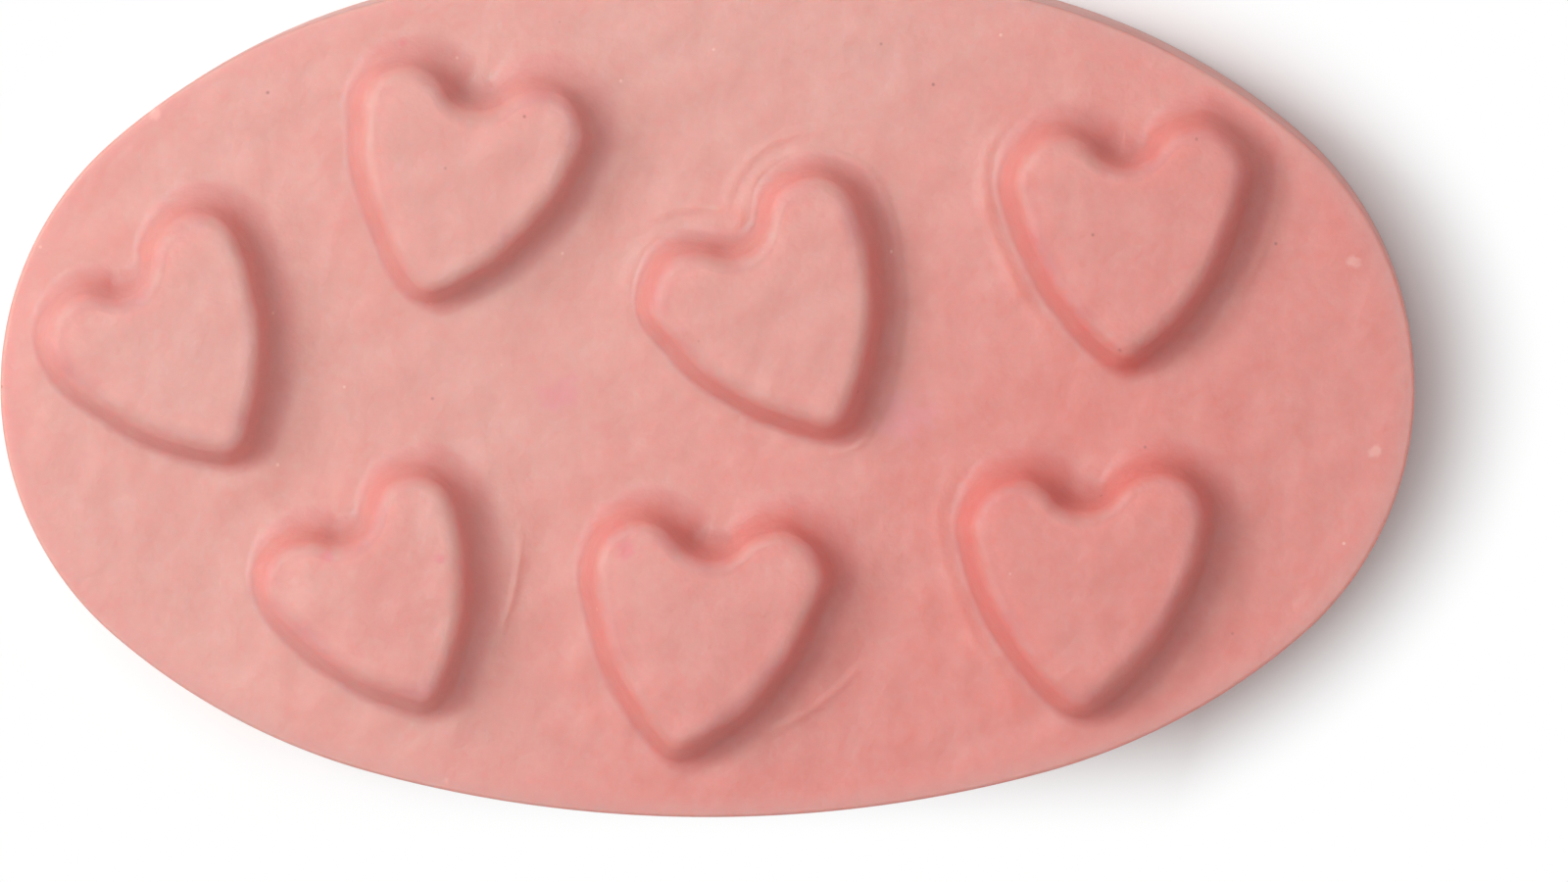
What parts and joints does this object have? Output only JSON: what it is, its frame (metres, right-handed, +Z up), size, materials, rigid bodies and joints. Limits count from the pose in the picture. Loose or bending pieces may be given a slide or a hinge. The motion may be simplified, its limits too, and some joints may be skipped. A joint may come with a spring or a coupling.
{
  "type": "massage bar",
  "caption": "Oval hand-held massage bar of pink skin butter, moulded in one piece, with rounded hearts raised on its flat face and a flat back to rest on.",
  "frame": {"origin": "middle of the flat back that the bar lies on", "axes": "+X along the length, +Y across the width, +Z up, out of the face with the hearts"},
  "size_m": [0.1, 0.0608, 0.0208],
  "materials": {
    "skin_butter": "satin, waxy, pale salmon pink"
  },
  "bodies": {
    "root": {"massage_bar": "skin_butter"}
  },
  "joints": []
}
